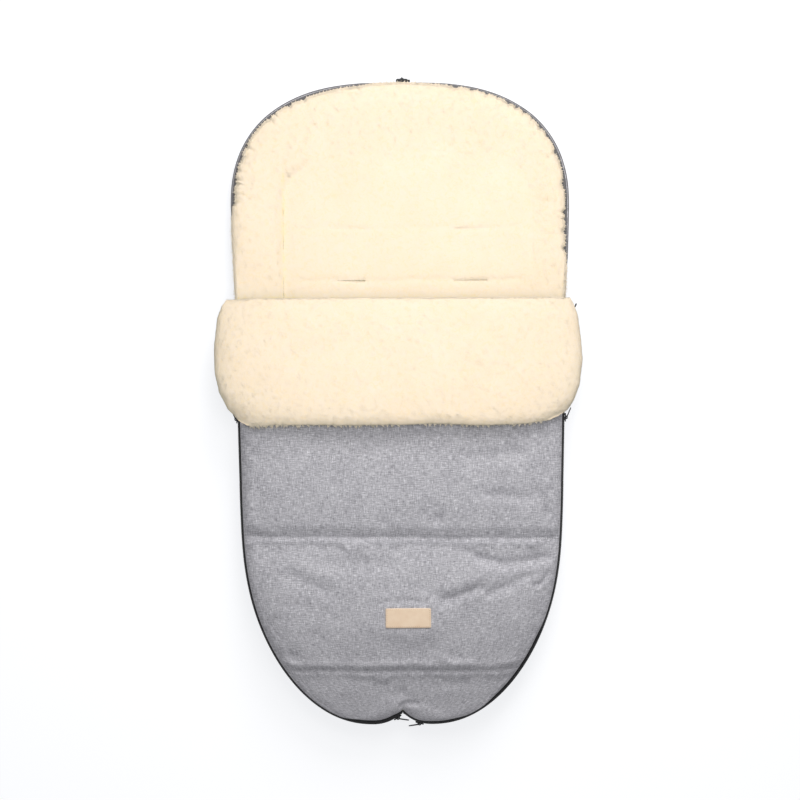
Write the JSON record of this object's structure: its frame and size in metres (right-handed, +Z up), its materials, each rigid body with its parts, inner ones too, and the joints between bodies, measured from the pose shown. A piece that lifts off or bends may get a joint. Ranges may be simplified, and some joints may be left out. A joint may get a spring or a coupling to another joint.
{
  "type": "stroller footmuff",
  "caption": "Padded footmuff for a pushchair with a fleece-lined hood end, a quilted zip-on cover and a deep turned-down fleece cuff.",
  "frame": {"origin": "middle of the underside, on the surface the footmuff lies on", "axes": "+Z up from the underside, +Y towards the hood end, +X to the right when seen from above with the hood end up"},
  "size_m": [0.5366, 0.9754, 0.1118],
  "materials": {
    "melange_fabric": "matt woven melange",
    "cream_fleece": "deep pile fleece",
    "wadding": "loose polyester fill",
    "pale_leather": "smooth, undyed",
    "zip_tape": "woven tape",
    "zip_coil": "nylon",
    "slider_metal": "dark lacquer",
    "hood_cord": "braided elastic",
    "lock_plastic": "satin moulding",
    "spring_steel": "drawn wire"
  },
  "bodies": {
    "back": {"back_shell": "melange_fabric", "cover_shell": "melange_fabric", "back_wadding": "wadding", "cover_wadding": "wadding", "back_fleece_border": "cream_fleece", "back_fleece_panel": "cream_fleece", "cover_fleece": "cream_fleece", "slot_lower_left": "cream_fleece", "slot_lower_right": "cream_fleece", "slot_upper_left": "cream_fleece", "slot_upper_right": "cream_fleece", "slot_crotch": "cream_fleece", "leather_label": "pale_leather", "zip_tape_back_left": "zip_tape", "zip_tape_back_right": "zip_tape", "zip_coil_back_left": "zip_coil", "zip_coil_back_right": "zip_coil", "zip_tape_cover_left": "zip_tape", "zip_tape_cover_right": "zip_tape", "zip_coil_cover_left": "zip_coil", "zip_coil_cover_right": "zip_coil", "zip_foot_stop_left": "slider_metal", "zip_top_stop_back_left": "slider_metal", "zip_foot_stop_right": "slider_metal", "zip_top_stop_back_right": "slider_metal", "hood_cord": "hood_cord", "cord_lock_body": "lock_plastic", "cord_lock_spring": "spring_steel"},
    "flap": {"flap_shell": "melange_fabric", "flap_wadding": "wadding", "flap_fleece": "cream_fleece", "zip_tape_flap_left": "zip_tape", "zip_tape_flap_right": "zip_tape", "zip_coil_flap_left": "zip_coil", "zip_coil_flap_right": "zip_coil", "zip_top_stop_flap_left": "slider_metal", "zip_top_stop_flap_right": "slider_metal", "zip_tail_right": "zip_tape"},
    "cuff": {"cuff_shell": "melange_fabric", "cuff_wadding": "wadding", "cuff_fleece": "cream_fleece"},
    "slider_upper_left": {"slider_upper_left": "slider_metal"},
    "pull_tab_upper_left": {"pull_tab_upper_left": "slider_metal"},
    "slider_upper_right": {"slider_upper_right": "slider_metal"},
    "pull_tab_upper_right": {"pull_tab_upper_right": "slider_metal"},
    "slider_foot_left": {"slider_foot_left": "slider_metal"},
    "pull_tab_foot_left": {"pull_tab_foot_left": "slider_metal"},
    "slider_foot_right": {"slider_foot_right": "slider_metal"},
    "pull_tab_foot_right": {"pull_tab_foot_right": "slider_metal"},
    "lock_plunger": {"cord_lock_plunger": "lock_plastic"}
  },
  "joints": [
    {"name": "flap_lift", "type": "hinge", "parent": "back", "child": "flap", "pos_m": [0, -0.039, 0.084], "axis": [1, 0, 0], "range_deg": [0, 110]},
    {"name": "cuff_unfold", "type": "hinge", "parent": "flap", "child": "cuff", "pos_m": [0, 0.154, 0.0844], "axis": [-1, 0, 0], "range_deg": [0, 170]},
    {"name": "upper_left_slider_run", "type": "slide", "parent": "back", "child": "slider_upper_left", "axis": [-0.0219, 0.9998, 0], "range_m": [-0.081, 0.162]},
    {"name": "upper_right_slider_run", "type": "slide", "parent": "back", "child": "slider_upper_right", "axis": [0.0219, 0.9998, 0], "range_m": [-0.081, 0.162]},
    {"name": "foot_left_slider_run", "type": "hinge", "parent": "back", "child": "slider_foot_left", "pos_m": [-0.043, -0.422, 0.036], "axis": [0, 0, -1], "range_deg": [0, 27]},
    {"name": "foot_right_slider_run", "type": "hinge", "parent": "back", "child": "slider_foot_right", "pos_m": [0.043, -0.422, 0.036], "axis": [0, 0, 1], "range_deg": [-4.5, 9.5]},
    {"name": "upper_left_tab_swing", "type": "hinge", "parent": "slider_upper_left", "child": "pull_tab_upper_left", "pos_m": [-0.24839, -0.02511, 0.036], "axis": [0, 0, 1], "range_deg": [-20, 154]},
    {"name": "upper_right_tab_swing", "type": "hinge", "parent": "slider_upper_right", "child": "pull_tab_upper_right", "pos_m": [0.24839, -0.02511, 0.036], "axis": [0, 0, -1], "range_deg": [-20, 154]},
    {"name": "foot_left_tab_swing", "type": "hinge", "parent": "slider_foot_left", "child": "pull_tab_foot_left", "pos_m": [-0.00645, -0.47557, 0.036], "axis": [0, 0, -1], "range_deg": [-11, 133]},
    {"name": "foot_right_tab_swing", "type": "hinge", "parent": "slider_foot_right", "child": "pull_tab_foot_right", "pos_m": [0.02458, -0.48418, 0.036], "axis": [0, 0, 1], "range_deg": [-22, 151]},
    {"name": "lock_plunger_press", "type": "slide", "parent": "back", "child": "lock_plunger", "axis": [-1, 0, 0], "range_m": [0, 0.0025], "stiffness_N_per_m": 400, "deforming": ["cord_lock_spring"]}
  ]
}
